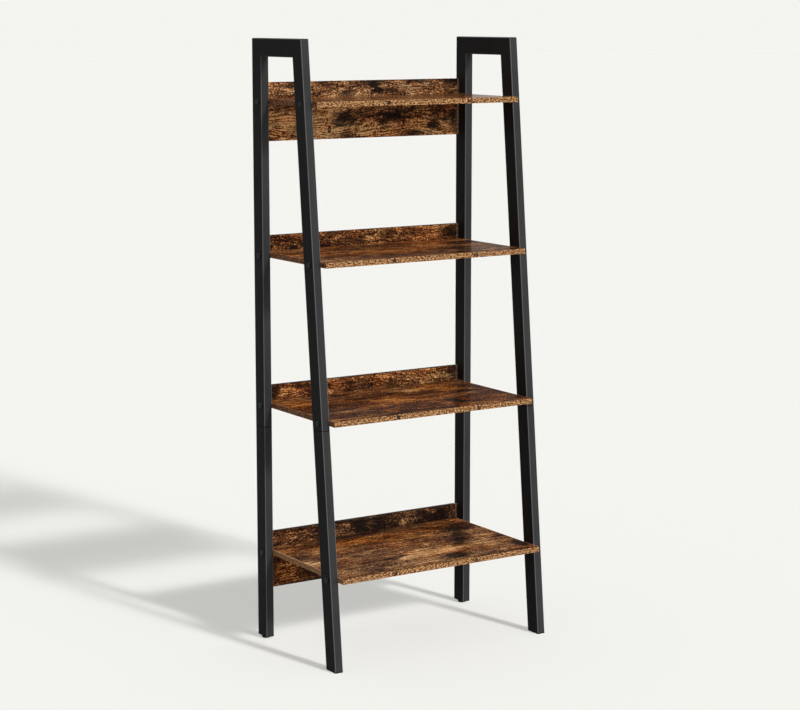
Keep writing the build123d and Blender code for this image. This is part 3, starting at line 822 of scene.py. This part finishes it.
def seen_directly(bench, shown_in_gloss=1.0):
    """One for rays from the camera or from a shiny or clear surface, and nothing for soft light."""
    path = bench.add("LightPath").outputs
    shiny = bench.math("MAXIMUM", path["Is Glossy Ray"], path["Is Transmission Ray"])
    mirrored = bench.math("MULTIPLY", shiny, shown_in_gloss)
    return bench.math("MAXIMUM", path["Is Camera Ray"], mirrored)


def lay_floor():
    """A wide pale floor, which keeps the shelf's shadow and throws little light back on it."""
    mesh = bpy.data.meshes.new("studio_floor")
    shape = bmesh.new()
    bmesh.ops.create_grid(shape, x_segments=1, y_segments=1, size=FLOOR_REACH)
    shape.to_mesh(mesh)
    shape.free()
    floor = bpy.data.objects.new("studio_floor", mesh)
    bpy.context.scene.collection.objects.link(floor)
    floor.visible_shadow = False
    material, bench, shader = new_material("pale_studio_floor")
    colour = bench.tint(seen_directly(bench), FLOOR_BOUNCE, FLOOR_COLOUR)
    bench.feed(shader.inputs["Base Color"], colour)
    shader.inputs["Roughness"].default_value = 1.0
    shader.inputs["Specular IOR Level"].default_value = 0.0
    mesh.materials.append(material)
    return floor


def hang_lamp(name, turn, height, strength, spread, shadow=True):
    """A far lamp that shines on the shelf from the given side and height."""
    lamp = bpy.data.lights.new(name, "SUN")
    lamp.use_shadow = shadow
    lamp.energy = strength
    lamp.angle = math.radians(spread)
    holder = bpy.data.objects.new(name, lamp)
    turn, height = math.radians(turn), math.radians(height)
    level = math.cos(height)
    toward = Vector((level * math.sin(turn), -level * math.cos(turn), math.sin(height)))
    holder.rotation_euler = toward.to_track_quat("Z", "Y").to_euler()
    bpy.context.scene.collection.objects.link(holder)
    return holder


def light_studio(floor):
    """The lamps, and the surroundings that shiny surfaces show."""
    hang_lamp("key_lamp", *KEY_LAMP)
    hang_lamp("fill_lamp", *FILL_LAMP)
    hang_lamp("top_lamp", *TOP_LAMP, shadow=False)
    lit = bpy.data.collections.new("floor_lamp_reach")
    lit.objects.link(floor)
    hang_lamp("floor_lamp", *FLOOR_LAMP).light_linking.receiver_collection = lit
    world = bpy.data.worlds.new("studio")
    world.use_nodes = True
    bench = NodeBench(world.node_tree)
    background = world.node_tree.nodes["Background"]
    # The backdrop stands behind the shelf, and the studio is dim above it
    rise = bench.parts(bench.add("TexCoord").outputs["Generated"])["Z"]
    seen = seen_directly(bench, bench.step(rise, BACKDROP_TOP, 0.0))
    bench.feed(background.inputs["Color"], bench.tint(seen, SURROUND, BACKDROP))
    bpy.context.scene.world = world
    bpy.context.scene.view_settings.view_transform = "Standard"


def set_camera():
    """The view of the photograph."""
    camera = bpy.data.cameras.new("photo_view")
    camera.sensor_width = CAMERA_SENSOR
    camera.lens = CAMERA_LENS
    camera.clip_end = CAMERA_SIGHT
    holder = bpy.data.objects.new("photo_view", camera)
    holder.location = CAMERA_PLACE
    holder.rotation_euler = (math.radians(90 - CAMERA_TILT), 0.0, math.radians(-CAMERA_TURN))
    bpy.context.scene.collection.objects.link(holder)
    bpy.context.scene.camera = holder


set_camera()
light_studio(lay_floor())
dress_frames()
dress_boards()
threaded_stud("left", -LEG_X)
threaded_stud("right", LEG_X)
